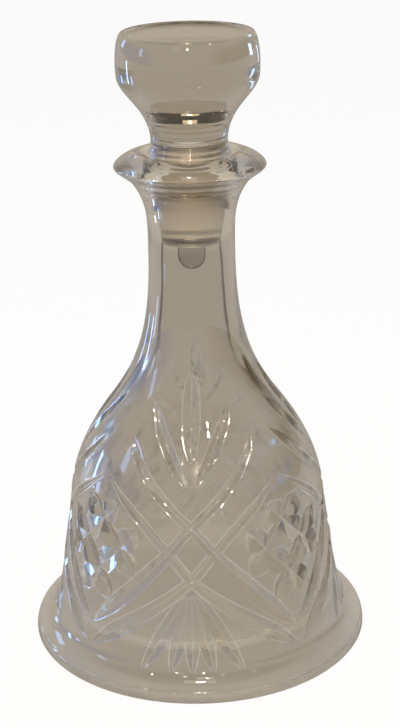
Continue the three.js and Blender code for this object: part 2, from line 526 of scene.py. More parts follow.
def through(line, share):
    """Point at a share of the way along a smooth line through the given points."""
    place = share * (len(line) - 1)
    i = min(int(place), len(line) - 2)
    t = place - i
    p0, p1 = line[max(i - 1, 0)], line[i]
    p2, p3 = line[i + 1], line[min(i + 2, len(line) - 1)]
    result = []
    for a, b, c, d in zip(p0, p1, p2, p3):
        v0, v1 = (c - a) / 2, (d - b) / 2
        cubed, squared = 2 * b - 2 * c + v0 + v1, -3 * b + 3 * c - 2 * v0 - v1
        result.append(cubed * t**3 + squared * t**2 + v0 * t + b)
    return result


def select_only(*objects):
    """Selects the given objects alone, with the last of them active."""
    bpy.ops.object.select_all(action="DESELECT")
    for obj in objects:
        obj.select_set(True)
    bpy.context.view_layer.objects.active = objects[-1]


def turned(name, points):
    """Solid of revolution round the Z axis from an open outline of (radius, height)."""
    bpy.ops.object.select_all(action="DESELECT")
    # A circle that shrinks to one point, from which the outline is drawn out
    radius, height = points[0]
    bpy.ops.mesh.primitive_circle_add(vertices=3, radius=0.001, location=(radius, 0, height))
    obj = bpy.context.object
    obj.name = obj.data.name = name
    bpy.ops.object.mode_set(mode="EDIT")
    bpy.context.tool_settings.mesh_select_mode = (True, False, False)
    bpy.ops.mesh.select_all(action="SELECT")
    bpy.ops.mesh.merge(type="CENTER")
    for (r0, z0), (r1, z1) in zip(points, points[1:]):
        bpy.ops.mesh.extrude_vertices_move(
            TRANSFORM_OT_translate={"value": (r1 - r0, 0, z1 - z0)}
        )
    bpy.ops.mesh.select_all(action="SELECT")
    bpy.ops.mesh.spin(steps=TURNS, angle=2 * math.pi, center=(0, 0, 0), axis=(0, 0, 1))
    bpy.ops.mesh.select_all(action="SELECT")
    bpy.ops.mesh.remove_doubles(threshold=MERGE_WITHIN)
    bpy.ops.mesh.normals_make_consistent(inside=False)
    bpy.ops.object.mode_set(mode="OBJECT")
    bpy.ops.object.transform_apply(location=True, rotation=True, scale=True)
    return obj


def leaf(width):
    """Half width at each share of a cut that is pointed at both ends."""
    return lambda share: (width / 2 + END_LIFT) * math.sin(math.pi * share) ** LEAF_POINT - END_LIFT


def fading(width, end_share):
    """Half width at each share of a cut that is even but for its ends."""

    def half(share):
        end = min(share, 1 - share) / end_share
        return (width / 2 + END_LIFT) * min(1, end) - END_LIFT

    return half


def widening(width, foot_width):
    """Half width at each share of a cut that grows towards the foot."""

    def half(share):
        growth = min(max((share - ARM_GROWTH_START) / ARM_GROWTH, 0), 1)
        grown = width + (foot_width - width) * growth**2 * (3 - 2 * growth)
        end = min(1, share / ARM_TOP_TAPER, (1 - share) / ARM_FOOT_TAPER)
        return (grown / 2 + END_LIFT) * end - END_LIFT

    return half


def section(half, facet, bend):
    """Corners (across, out) of a bar that cuts a mitre with a rounded valley and eased edges.

    The bend is how much the wall curves across the cut, as 1 over its radius.
    """
    share = min(max(half / EASE_FROM, EASE_LEAST), 1)
    ease, valley = EASE * share, VALLEY * share
    depth = half * facet
    edge = reach = max(half, EASE)
    if bend > FLAT_BEND:
        edge = (math.sqrt(facet**2 + 2 * reach * facet * bend) - facet) / bend
    edge = max(edge, ease + EDGE_FROM_VALLEY * valley)
    brow = edge + ease
    brow_out = max(-0.5 * bend * brow**2, 0.5 * bend * brow**2 - 2 * depth)
    right = [
        (valley / 3, 2 / 3 * valley * facet - depth),
        (valley, valley * facet - depth),
        (edge - ease, (edge - ease) * facet - depth),
        (brow, brow_out),
        (brow + CUT_LIFT, brow_out + CUT_LIFT),
    ]
    return [(-across, out) for across, out in reversed(right)] + right


def sections_along(wall, line, half_width, steps, facet):
    """Corners of the bar's section in space, at each step of the way along a line."""
    sections = []
    for k in range(steps + 1):
        share = k / steps
        point, out = wall.spot(*through(line, share))
        before = wall.spot(*through(line, max(share - SHARE_STEP, 0)))[0]
        after = wall.spot(*through(line, min(share + SHARE_STEP, 1)))[0]
        side = out.cross(after - before).normalized()
        round_axis = Vector((-point.y, point.x, 0)).normalized()
        bend = side.dot(round_axis) ** 2 / math.hypot(point.x, point.y)
        corners = section(half_width(share), facet, bend)
        sections.append([point + side * across + out * rise for across, rise in corners])
    return sections


def mitre(wall, line, half_width, steps, facet):
    """Bar that follows a line of (azimuth, height) on the wall, with its valley under the line."""
    bpy.ops.object.select_all(action="DESELECT")
    bpy.ops.mesh.primitive_cylinder_add(
        vertices=SECTION_CORNERS, radius=1, depth=1, location=(0, 0, 0)
    )
    bar = bpy.context.object
    bar.name = "mitre"
    bpy.ops.object.mode_set(mode="EDIT")
    bpy.context.tool_settings.mesh_select_mode = (False, True, False)
    bpy.ops.mesh.select_all(action="DESELECT")
    bm = bmesh.from_edit_mesh(bar.data)
    for edge in bm.edges:
        runs_along = edge.verts[0].co.z != edge.verts[1].co.z
        edge.select = runs_along
    bmesh.update_edit_mesh(bar.data)
    bpy.ops.mesh.subdivide(number_cuts=steps - 1)
    sections = sections_along(wall, line, half_width, steps, facet)
    bm = bmesh.from_edit_mesh(bar.data)
    bm.verts.index_update()
    corners = {}
    for vert in bm.verts:
        place = round((vert.co.z + 0.5) * steps)
        turn = math.atan2(vert.co.x, vert.co.y) / (2 * math.pi)
        corners[vert.index] = round(SECTION_CORNERS * turn) % SECTION_CORNERS
        vert.co = sections[place][corners[vert.index]]
    edge = bm.faces.layers.float.new("edge")
    for face in bm.faces:
        strip = tuple(sorted({corners[vert.index] for vert in face.verts}))
        face[edge] = EDGE_STRIPS.get(strip, 0)
    bm.normal_update()
    bmesh.update_edit_mesh(bar.data)
    bpy.ops.mesh.select_all(action="SELECT")
    bpy.ops.mesh.normals_make_consistent(inside=False)
    bpy.ops.object.mode_set(mode="OBJECT")
    return bar


def take_away(obj, cutters):
    """Cuts all the cutters out of a solid, and deletes them."""
    tray = bpy.data.collections.new("cutters")
    bpy.context.scene.collection.children.link(tray)
    for cutter in cutters:
        tray.objects.link(cutter)
    select_only(obj)
    cut = obj.modifiers.new("cuts", "BOOLEAN")
    cut.operation = "DIFFERENCE"
    cut.operand_type = "COLLECTION"
    cut.collection = tray
    cut.solver = "MANIFOLD"
    bpy.ops.object.modifier_apply(modifier="cuts")
    for cutter in cutters:
        bpy.data.meshes.remove(cutter.data)
    bpy.data.collections.remove(tray)


def finish(obj):
    """Smooth shading up to the smooth angle, with the faces pointing out and no open edge."""
    select_only(obj)
    bpy.ops.object.mode_set(mode="EDIT")
    bpy.ops.mesh.select_all(action="SELECT")
    bpy.ops.mesh.normals_make_consistent(inside=False)
    bpy.ops.object.mode_set(mode="OBJECT")
    bpy.ops.object.shade_smooth_by_angle(angle=math.radians(SMOOTH_ANGLE))
    flat = obj.modifiers.new("flat facets", "WEIGHTED_NORMAL")
    flat.keep_sharp = True
    bpy.ops.object.modifier_apply(modifier="flat facets")
    shape = bmesh.new()
    shape.from_mesh(obj.data)
    open_edges = sum(not edge.is_manifold for edge in shape.edges)
    shape.free()
    if open_edges:
        raise RuntimeError(f"{obj.name} has {open_edges} open edges")


def mark_inside(obj, test):
    """Attribute that is 1 at the vertices for which the test of (radius, height) holds."""
    layer = obj.data.attributes.new("inside", "FLOAT", "POINT")
    for vert in obj.data.vertices:
        x, y, z = vert.co
        layer.data[vert.index].value = float(test(math.hypot(x, y), z))


# Materials


class Wire:
    """A socket of a material, on which an expression adds Math nodes."""

    def __init__(self, shader, socket):
        self.shader = shader
        self.socket = socket

    def math(self, operation, *values):
        return self.shader.node("ShaderNodeMath", {"operation": operation}, dict(enumerate(values)))

    def __add__(self, other):
        return self.math("ADD", self, other)

    def __radd__(self, other):
        return self.math("ADD", other, self)

    def __sub__(self, other):
        return self.math("SUBTRACT", self, other)

    def __rsub__(self, other):
        return self.math("SUBTRACT", other, self)

    def __mul__(self, other):
        return self.math("MULTIPLY", self, other)

    def __rmul__(self, other):
        return self.math("MULTIPLY", other, self)

    def sine(self):
        return self.math("SINE", self)

    def clamp(self):
        return self.shader.node("ShaderNodeClamp", {}, {0: self})

    def ramp(self, start, end):
        """Mask that goes from 0 at one value to 1 at another, which may be the lower one."""
        return ((self - start) * (1.0 / (end - start))).clamp()


class Shader:
    """Node tree of one material or of the world."""

    def __init__(self, owner):
        owner.use_nodes = True
        self.tree = owner.node_tree
        self.tree.nodes.clear()

    def node(self, kind, settings=None, inputs=None, output=0):
        """Node of a kind, with its settings made first and then its sockets set or linked."""
        node = self.tree.nodes.new(kind)
        for name, value in (settings or {}).items():
            setattr(node, name, value)
        for key, value in (inputs or {}).items():
            if isinstance(value, Wire):
                self.tree.links.new(value.socket, node.inputs[key])
            else:
                node.inputs[key].default_value = value
        return Wire(self, node.outputs[output] if len(node.outputs) else None)

    def mix(self, share, low, high):
        """Colour that goes from one colour to another with the share."""
        settings = {"data_type": "RGBA"}
        return self.node("ShaderNodeMix", settings, {0: share, 6: low, 7: high}, output=2)

    def noise(self, where, scale, detail=2.0, roughness=0.5):
        inputs = {"Vector": where, "Scale": scale, "Detail": detail, "Roughness": roughness}
        return self.node("ShaderNodeTexNoise", {}, inputs)

    def ray(self, *kinds):
        """1 on rays of any of the given kinds."""
        total = None
        for kind in kinds:
            one = self.node("ShaderNodeLightPath", output=kind)
            total = one if total is None else total + one
        return total.clamp()


def rgba(colour, factor=1.0):
    """Colour for a socket, made lighter or darker by a factor and held to 1."""
    return (*(min(c * factor, 1) for c in colour), 1.0)


# Colours of the glass, of the painted light and shade on it, and of rays let through it

CLEAR = (1, 1, 1, 1)
FREED_COLOUR = (0.62, 0.61, 0.6)
SHADOW_COLOUR = (0.86, 0.84, 0.8)
# Painted shade for glass seen edge on and the lip's sides; painted light for the lip's middle, the
# foot and its brim
RIM_SHADE_COLOUR = (0.28, 0.235, 0.175)
LIP_SIDES_SHADE = (0.22, 0.21, 0.205)
LIP_MIDDLE_LIGHT = (0.9, 0.79, 0.62)
FOOT_PAINTED_LIGHT = (0.49, 0.43, 0.33)
BRIM_PAINTED_LIGHT = (0.5, 0.45, 0.365)
# Painted shade: near black for the edges of the bore and nub and for the plug's end
PAINTED_SHADE_COLOUR = (0.06, 0.045, 0.032)
PEG_COLOUR = (0.86, 0.83, 0.78)
# Painted shade that darkens the nub, and a light grey for the bore below the plug
NUB_SHADE = (0.62, 0.6, 0.58)
BORE_GREY = (0.92, 0.92, 0.93)

# Where each mask is 0 and where it is 1, as heights above the table or distances from the axis

FOOT_TINTED = (0.034, 0.014)
FOOT_GROUND = (0.0045, 0.0028)
FLOOR_CLOUDED = (0.0303, 0.016)
NECK_START = (0.118, 0.143)
LIP_FROM_AXIS = (0.0235, 0.0275)
LIP_START = (0.17, 0.18)
BRIM_FROM_AXIS = (0.059, 0.0657)
BRIM_TOP = (0.0073, 0.004)

# The same for heights above the end of the plug

UNDER_PLUG_END = (0.0, -0.0005)
OVER_PLUG_END = (0.0, 0.0005)
AT_PLUG_END = (-0.0005, 0.0)
# Heights of painted light round the plug and of painted shade at the plug's end
ROUND_PLUG_START = (0.0, 0.0033)
ROUND_PLUG_TOP = (0.0367, 0.03)
PLUG_END_TOP = (0.0011, 0.0006)
CUFF_START = (0.0024, 0.0031)
CUFF_TOP = (0.0056, 0.0042)
BEAD_TOP = (0.0037, 0.0026)
GROUND_TOP = (0.0333, 0.03)
RINGS_START = (0.0215, 0.0255)
RINGS_TOP = (0.0567, 0.05)

# The same for how far the glass is turned from the eye, from 0 for square on to 1 for edge on

# These masks place painted light and shade by how far the glass is turned from the eye.
ROUND_PLUG_LIGHT_FACING = (0.4545, 0.0)
LIP_SHADE_FACING = (0.5556, 0.0)
LIMB_SHADE_FACING = (0.58, 0.705)
RIM_SHADE_FACING = (0.55, 0.9346)

# Patterns: scales of the noises, where in a noise a mask is 0 and 1, and the turned rings in
# radians to the metre of height

CLOUD_SCALE = 14.0
SMEAR_SCALE = 55.0
SMEARED = (0.52, 0.6867)
# Patches of the painted shade at the plug's end
SHADE_PATCH_SCALE = 60.0
SHADE_PATCHY = (0.38, 0.5467)
GRIT_SCALE = 900.0
WAVE_SCALE = 42.0
RING_SCALE = 2600.0

# Strengths of the masks and patterns, and constants of the glass

CLOUD_DEPTH = 0.04
# Shares of painted light in the foot and round the plug, and of painted shade at the plug's end
FOOT_LIGHT_SHARE = 0.6
ROUND_PLUG_PAINTED_LIGHT = 1.7
CUFF_SHARE = 0.85
PAINTED_SHADE_SHARE = 0.92
SMEAR_SHARE = 0.5
NECK_SMOOTHER = 0.85
GRIT_LEAST, GRIT_DEPTH = 0.8, 0.4
POLISHED = 0.004
WAVES_INSIDE = 2.0
RING_SHARE = 0.2
WAVE_HEIGHT = 0.001
GLASS_IOR = 1.54
EDGE_IOR = 2.2
EDGE_ROUGHNESS = 0.08
MIRRORED_DEPTH = 3.0
TRAPPED_DEPTH = 8.0


class Crystal:
    """Clear glass, tinted where it is polished outside and wavy and a little dull inside."""

    def __init__(self, name, tint, look, plug_end):
        self.material = bpy.data.materials.new(name)
        self.shader = shader = Shader(self.material)
        self.tint = tint
        self.look = look
        self.where = shader.node("ShaderNodeTexCoord", output="Object")
        self.height = shader.node("ShaderNodeSeparateXYZ", {}, {0: self.where}, output="Z")
        self.level = self.height - plug_end
        self.facing = shader.node("ShaderNodeLayerWeight", {}, {"Blend": 0.5}, output="Facing")
        self.inside = self.attribute("inside")
        self.neck = self.height.ramp(*NECK_START)
        self.under_plug = self.level.ramp(*UNDER_PLUG_END)

    def attribute(self, name):
        return self.shader.node("ShaderNodeAttribute", {"attribute_name": name}, output="Fac")

    def from_axis(self):
        """Distance from the axis."""
        settings, inputs = {"operation": "MULTIPLY"}, {0: self.where, 1: (1, 1, 0)}
        flat = self.shader.node("ShaderNodeVectorMath", settings, inputs)
        settings = {"operation": "LENGTH"}
        return self.shader.node("ShaderNodeVectorMath", settings, {0: flat}, output="Value")

    def polished(self):
        """Tint of the outside, with slow clouds in it."""
        cloud = self.shader.noise(self.where, CLOUD_SCALE)
        dark, pale = rgba(self.tint, 1 - CLOUD_DEPTH), rgba(self.tint, 1 + CLOUD_DEPTH)
        return self.shader.mix(cloud, dark, pale)

    def clear_inside(self, outside, below_plug_colour):
        """The outside's colour, clear inside but below the plug: light grey in the bore, painted
        shade on the nub.
        """
        colour = self.shader.mix(self.inside, outside, CLEAR)
        cover = self.under_plug * self.inside * self.neck
        return self.shader.mix(cover, colour, rgba(below_plug_colour))

    def painted_limb_shade(self):
        """Painted shade: near black lines where the bore and the nub are seen edge on."""
        return self.facing.ramp(*LIMB_SHADE_FACING) * self.inside * self.neck * self.under_plug

    def worn(self):
        """Roughness of the smears, and of the inside, which is smoother in the neck."""
        smear = self.shader.noise(self.where, SMEAR_SCALE, detail=4.0, roughness=0.6)
        smears = smear.ramp(*SMEARED) * self.look.haze * SMEAR_SHARE
        unpolished = self.inside * (1.0 - self.neck * NECK_SMOOTHER) * self.look.inner_haze
        return smears + unpolished + POLISHED

    def ripples(self):
        """Normal with slow waves, and with fine turned rings round the seat of the stopper."""
        wave = self.shader.noise(self.where, WAVE_SCALE, detail=1.0)
        wave = wave * (self.inside * WAVES_INSIDE + 1.0)
        rings = (self.height * RING_SCALE).sine()
        seat = self.level.ramp(*RINGS_START) * self.level.ramp(*RINGS_TOP)
        height = wave + rings * seat * RING_SHARE
        inputs = {"Strength": self.look.ripple, "Distance": WAVE_HEIGHT, "Height": height}
        return self.shader.node("ShaderNodeBump", {}, inputs)

    def under_painted_shade(self, glass, share, colour):
        """The glass with a share of it hidden by a dull diffuse colour that paints shade on it."""
        cover = self.shader.node("ShaderNodeBsdfDiffuse", {}, {"Color": rgba(colour)})
        return self.shader.node("ShaderNodeMixShader", {}, {0: share, 1: glass, 2: cover})

    def let_through(self, glass, share, colour):
        """The glass with a share of the rays let straight through it."""
        clear = self.shader.node("ShaderNodeBsdfTransparent", {}, {"Color": rgba(colour)})
        return self.shader.node("ShaderNodeMixShader", {}, {0: share, 1: glass, 2: clear})

    def trapped(self):
        """1 on rays that have been mirrored or have crossed the glass too often to get out."""
        mirrored = self.shader.node("ShaderNodeLightPath", output="Glossy Depth") - MIRRORED_DEPTH
        deep = self.shader.node("ShaderNodeLightPath", output="Ray Depth") - TRAPPED_DEPTH
        return (mirrored.clamp() + deep.clamp()).clamp()

    def finished(self, colour, roughness, gleam, painted_shade):
        """The material, with a harder gloss where the gleam says and painted shade on top."""
        glass = self.shader.node(
            "ShaderNodeBsdfPrincipled",
            {},
            {
                "Base Color": colour,
                "Roughness": roughness,
                "IOR": GLASS_IOR,
                "Transmission Weight": 1.0,
                "Coat Weight": gleam,
                "Coat Roughness": EDGE_ROUGHNESS,
                "Coat IOR": EDGE_IOR,
                "Normal": self.ripples(),
            },
        )
        # Painted shade: a brown film on the outside where the glass is seen edge on
        rim = self.facing.ramp(*RIM_SHADE_FACING) * (1.0 - self.inside) * self.look.rim_shade
        # Painted shade: near black where the painted_shade mask says
        glass = self.under_painted_shade(glass, painted_shade.clamp() * PAINTED_SHADE_SHARE, PAINTED_SHADE_COLOUR)
        glass = self.under_painted_shade(glass, rim, RIM_SHADE_COLOUR)
        glass = self.let_through(glass, self.trapped(), FREED_COLOUR)
        glass = self.let_through(glass, self.shader.ray("Is Shadow Ray"), SHADOW_COLOUR)
        self.shader.node("ShaderNodeOutputMaterial", {}, {"Surface": glass})
        return self.material


def body_glass(look, plug_end):
    """Glass of the body, with painted light and shade, ground below and clouded on the floor."""
    glass = Crystal("crystal_body", look.body_tint, look, plug_end)
    shader, height, level, facing = glass.shader, glass.height, glass.level, glass.facing
    away = glass.from_axis()

    # Painted light: the foot gets a lighter tint
    foot = height.ramp(*FOOT_TINTED) * FOOT_LIGHT_SHARE
    outside = shader.mix(foot, glass.polished(), rgba(FOOT_PAINTED_LIGHT))
    # Painted light: a lighter tint round the plug where the glass faces the eye
    plug = level.ramp(*ROUND_PLUG_START) * level.ramp(*ROUND_PLUG_TOP)
    plug = plug * facing.ramp(*ROUND_PLUG_LIGHT_FACING)
    outside = shader.mix(plug, outside, rgba(look.body_tint, ROUND_PLUG_PAINTED_LIGHT))
    colour = glass.clear_inside(outside, BORE_GREY)
    # Painted shade at the lip's sides and painted light in its middle, by how the lip faces the eye
    lip = away.ramp(*LIP_FROM_AXIS) * height.ramp(*LIP_START)
    lip_light_and_shade = shader.mix(facing.ramp(*LIP_SHADE_FACING), rgba(LIP_SIDES_SHADE), rgba(LIP_MIDDLE_LIGHT))
    colour = shader.mix(lip, colour, lip_light_and_shade)
    # Painted light: a lighter ring at the brim of the foot
    brim = away.ramp(*BRIM_FROM_AXIS) * height.ramp(*BRIM_TOP)
    colour = shader.mix(brim, colour, rgba(BRIM_PAINTED_LIGHT))

    grit = shader.noise(glass.where, GRIT_SCALE) * GRIT_DEPTH + GRIT_LEAST
    ground = height.ramp(*FOOT_GROUND) * look.foot_haze * grit
    clouded = glass.inside * height.ramp(*FLOOR_CLOUDED) * look.floor_haze
    roughness = glass.worn() + ground + clouded
    gleam = glass.attribute("edge") * look.edge_gleam
    return glass.finished(colour, roughness, gleam, glass.painted_limb_shade())


def stopper_glass(look, plug_end):
    """Glass of the stopper, ground on the side of the plug, with painted shade in patches at its
    end.
    """
    glass = Crystal("crystal_stopper", look.stopper_tint, look, plug_end)
    shader, level = glass.shader, glass.level
    peg = glass.inside * level.ramp(*OVER_PLUG_END)
    colour = glass.clear_inside(glass.polished(), NUB_SHADE)
    colour = shader.mix(peg, colour, rgba(PEG_COLOUR))

    # Painted shade: a dark band in patches on the plug's end and the cuff above it
    at_end = level.ramp(*AT_PLUG_END)
    cuff = level.ramp(*CUFF_START) * level.ramp(*CUFF_TOP) * CUFF_SHARE
    patches = shader.noise(glass.where, SHADE_PATCH_SCALE).ramp(*SHADE_PATCHY)
    painted_shade = (at_end * level.ramp(*PLUG_END_TOP) + cuff) * patches
    bead = at_end * level.ramp(*BEAD_TOP)
    ground = peg * level.ramp(*GROUND_TOP) * look.ground_peg
    return glass.finished(colour, glass.worn() + ground, bead, glass.painted_limb_shade() + painted_shade)


# Operators


def outer_wall(body):
    """Outside of the body, from the band of the foot to the collar under the lip."""
    bell = body.foot_radius - FOOT_FLARE
    rim = body.rim_height
    return Wall(
        [
            (FOOT_BAND_HEIGHT, body.foot_radius - FOOT_BAND_DRAFT, FOOT_FLARE_SLOPE),
            (FLARE_TOP_HEIGHT, bell, FLARE_TOP_SLOPE),
            (BELL_LOW_HEIGHT, bell - BELL_LOW_INSET, BELL_LOW_SLOPE),
            (BELL_HIGH_HEIGHT, bell - BELL_HIGH_INSET, BELL_HIGH_SLOPE),
            (SHOULDER_HEIGHT, SHOULDER_RADIUS, SHOULDER_SLOPE),
            (NECK_BASE_HEIGHT, NECK_BASE_RADIUS, NECK_BASE_SLOPE),
            (rim - NECK_BELOW_RIM, body.neck_radius, 0.0),
            (rim - COLLAR_BELOW_RIM, COLLAR_OUTSIDE, COLLAR_SLOPE),
        ]
    )


def inner_wall(body, wall, plug_end):
    """Wall of the hollow and the bore, from the corner of the floor to the end of the plug."""
    low = UNDERSIDE_RISE + BASE_THICKNESS + FLOOR_CORNER
    bell = body.foot_radius - FOOT_FLARE - BELL_HIGH_INSET
    return Wall(
        [
            (low, wall.radius(low) - body.bell_wall, BELL_LOW_SLOPE),
            (BELL_HIGH_HEIGHT, bell - body.bell_wall, BELL_HIGH_SLOPE),
            (SHOULDER_HEIGHT, SHOULDER_RADIUS - SHOULDER_WALL, SHOULDER_SLOPE),
            (NECK_BASE_HEIGHT, NECK_BASE_RADIUS - THROAT_WALL, THROAT_SLOPE),
            (plug_end, body.bore_radius, BORE_SLOPE),
        ]
    )


def seat_heights(scene):
    """Heights of the top of the plug and of its end."""
    top = scene.carafe_body.rim_height - SEAT_DEPTH
    return top, top - scene.carafe_stopper.plug_length


def seat_curve(scene, gap):
    """Funnel of the mouth, or with no gap the part of the stopper that sits in it."""
    body = scene.carafe_body
    seat_top, _ = seat_heights(scene)
    taper = SEAT_TAPER * scene.carafe_stopper.plug_length
    seat = body.bore_radius + taper - SEAT_CLEARANCE + gap
    edge = COLLAR_RADIUS + gap
    top = body.rim_height - COLLAR_DROP
    return bezier(
        CURVE_STEPS,
        (seat, seat_top - gap),
        (seat + SEAT_BEND, seat_top + SEAT_BEND_HEIGHT - gap),
        (edge - COLLAR_CURVE, top - gap),
        (edge, top - gap),
    )


def foot_outline(body, wall):
    """Underside, edge and band of the foot, from the axis to the band's top."""
    foot, ring = body.foot_radius, body.foot_radius - FOOT_RING_WIDTH
    band_height, band_radius, _ = wall.stations[0]
    edge = bezier(
        FOOT_EDGE_STEPS,
        (foot - FOOT_EDGE, 0),
        (foot - FOOT_EDGE_PULL, 0),
        (foot, FOOT_EDGE_PULL),
        (foot, FOOT_EDGE),
    )
    band = bezier(
        FOOT_BOW_STEPS,
        (foot, FOOT_EDGE),
        (foot, FOOT_BOW_HEIGHT),
        (band_radius + FOOT_BOW_REACH, band_height - FOOT_BOW_DROP),
        (band_radius, band_height),
    )
    underside = [(0, UNDERSIDE_RISE), (ring - UNDERSIDE_RAMP, UNDERSIDE_RISE / 2), (ring, 0)]
    return [*underside, *edge, *band[1:]]


def lip_outline(body, wall):
    """Lip, from the collar under it to the rim."""
    collar_height, collar_radius, collar_slope = wall.stations[-1]
    lip_height = body.rim_height - LIP_THICKNESS
    under = bezier(
        LIP_STEPS,
        (collar_radius, collar_height),
        (collar_radius + LIP_UNDER_CURVE * collar_slope, collar_height + LIP_UNDER_CURVE),
        (body.lip_radius, lip_height - LIP_EDGE_DROP),
        (body.lip_radius, lip_height),
    )
    over = bezier(
        CURVE_STEPS,
        (body.lip_radius, lip_height),
        (body.lip_radius, lip_height + LIP_EDGE_RISE),
        (RIM_RADIUS + RIM_SHOULDER, body.rim_height),
        (RIM_RADIUS, body.rim_height),
    )
    return [*under[1:], *over[1:]]


def floor_outline(inner):
    """Floor of the hollow, from its corner to the axis."""
    low, corner, _ = inner.stations[0]
    floor = low - FLOOR_CORNER
    pull, reach = FLOOR_PULL * FLOOR_CORNER, FLOOR_REACH * FLOOR_CORNER
    curve = bezier(
        CURVE_STEPS,
        (corner, low),
        (corner, low - pull),
        (corner - pull, floor),
        (corner - reach, floor),
    )
    return [*curve[1:], (0, floor)]


def hollow_test(inner):
    """Test of (radius, height) that holds on the surface of the hollow and the bore."""
    low = UNDERSIDE_RISE + BASE_THICKNESS - INSIDE_MARGIN
    return lambda radius, height: height > low and radius < inner.radius(height) + INSIDE_MARGIN


def panel_spots(edge):
    """Function of two shares that gives a point of the diamond panel beside a face."""
    reach = edge - CROSS_ANGLE - PANEL_INSET
    left, right = (edge - reach, CROSS_HEIGHT), (edge + reach, CROSS_HEIGHT)
    top, bottom = (edge, PANEL_TOP), (edge, PANEL_BOTTOM)

    def spot(u, v):
        return [
            (a * (1 - u) + b * u) * (1 - v) + (c * (1 - u) + d * u) * v
            for a, b, c, d in zip(left, top, bottom, right)
        ]

    return spot


def face_cuts(wall, cuts):
    """Cuts of one face and of the panel beside it."""
    bars = []
    for side in (1, -1):
        for line in (OUTER_ARM, INNER_ARM):
            path = [(side * angle, height) for angle, height in line]
            half = widening(cuts.arm_width, cuts.arm_foot_width)
            bars.append(mitre(wall, path, half, ARM_STEPS, cuts.facet))
        path = [(side * angle, height) for angle, height in SIDE_LEAF]
        bars.append(mitre(wall, path, leaf(cuts.side_leaf_width), LEAF_STEPS, cuts.facet))
    bars.append(mitre(wall, MIDDLE_LEAF, leaf(cuts.leaf_width), LEAF_STEPS, cuts.facet))
    for angle in FOOT_LEAF_ANGLES:
        path = [(angle * FOOT_LEAF_GATHER, FOOT_LEAF_TOP), (angle, FOOT_LEAF_BOTTOM)]
        bars.append(mitre(wall, path, leaf(cuts.foot_leaf_width), LEAF_STEPS, cuts.facet))

    spot = panel_spots(FACE_ANGLE / 2)
    run = 1 - 2 * PANEL_MARGIN
    way = [PANEL_MARGIN + run * k / PANEL_CELLS for k in range(PANEL_CELLS + 1)]
    half = fading(cuts.panel_width, PANEL_CUT_TAPER)
    for k in range(1, PANEL_CELLS):
        share = k / PANEL_CELLS
        for path in ([spot(u, share) for u in way], [spot(share, v) for v in way]):
            bars.append(mitre(wall, path, half, LEAF_STEPS, cuts.panel_facet))
    return bars


class CARAFE_OT_body(bpy.types.Operator):
    """Turn the body, cut its pattern and give it its glass"""

    bl_idname = "carafe.body"
    bl_label = "Cut glass body"

    def execute(self, context):
        scene = context.scene
        sizes, look = scene.carafe_body, scene.carafe_glass
        _, plug_end = seat_heights(scene)
        wall = outer_wall(sizes)
        inner = inner_wall(sizes, wall, plug_end)
        outline = [
            *foot_outline(sizes, wall),
            *wall.outline(OUTER_STEPS)[1:],
            *lip_outline(sizes, wall),
            *reversed(seat_curve(scene, SEAT_CLEARANCE)),
            *reversed(inner.outline(INNER_STEPS)),
            *floor_outline(inner),
        ]
        body = turned("carafe_glass", outline)
        face = face_cuts(wall, scene.carafe_cuts)
        bars = list(face)
        for _ in range(FACES - 1):
            select_only(*face)
            bpy.ops.object.duplicate()
            bpy.ops.transform.rotate(
                value=math.radians(FACE_ANGLE), orient_axis="Z", center_override=(0, 0, 0)
            )
            face = list(context.selected_objects)
            bars.extend(face)
        take_away(body, bars)
        finish(body)
        mark_inside(body, hollow_test(inner))
        body.data.materials.clear()
        body.data.materials.append(body_glass(look, plug_end))
        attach(body, "carafe")
        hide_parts("carafe")
        return {"FINISHED"}


def plug_outline(radius, plug_end):
    """Round nub and rounded end of the plug, from the axis up to its side."""
    nub = [(0, plug_end - NUB_LENGTH)]
    for k in range(1, CURVE_STEPS + 1):
        turn = math.radians(90 * k / CURVE_STEPS)
        rise = NUB_RADIUS * (1 - math.cos(turn))
        nub.append((NUB_RADIUS * math.sin(turn), plug_end - NUB_LENGTH + rise))
    end = bezier(
        PLUG_END_STEPS,
        (NUB_RADIUS, plug_end),
        (radius - PLUG_END_PULL, plug_end),
        (radius, plug_end + PLUG_END_PULL),
        (radius, plug_end + PLUG_END_ROUND),
    )
    return [*nub, *end]


def knob_outline(sizes, rim):
    """Waist and knob, from just above the rim of the body to the middle of the dish."""
    side = Wall(
        [
            (rim + WAIST_HEIGHT, WAIST_RADIUS, 0.0),
            (rim + KNOB_FLARE_HEIGHT, KNOB_FLARE_RADIUS, KNOB_FLARE_SLOPE),
            (rim + KNOB_LOW_HEIGHT, sizes.knob_radius, KNOB_LOW_SLOPE),
            (rim + KNOB_HIGH_HEIGHT, sizes.knob_radius - KNOB_HIGH_INSET, KNOB_HIGH_SLOPE),
        ]
    )
    top = rim + KNOB_TOP
    rim_radius = sizes.knob_radius - KNOB_RIM_INSET
    height, radius, slope = side.stations[-1]
    pull = KNOB_RIM_PULL * (top - height)
    brow = bezier(
        CURVE_STEPS,
        (radius, height),
        (radius + pull * slope, height + pull),
        (rim_radius + KNOB_RIM_ROUND, top),
        (rim_radius, top),
    )
    dish = [(rim_radius - DISH_RIM, top - DISH_RIM_DROP), (0, top - sizes.dish_depth)]
    return [*side.outline(KNOB_STEPS), *brow[1:], *dish]


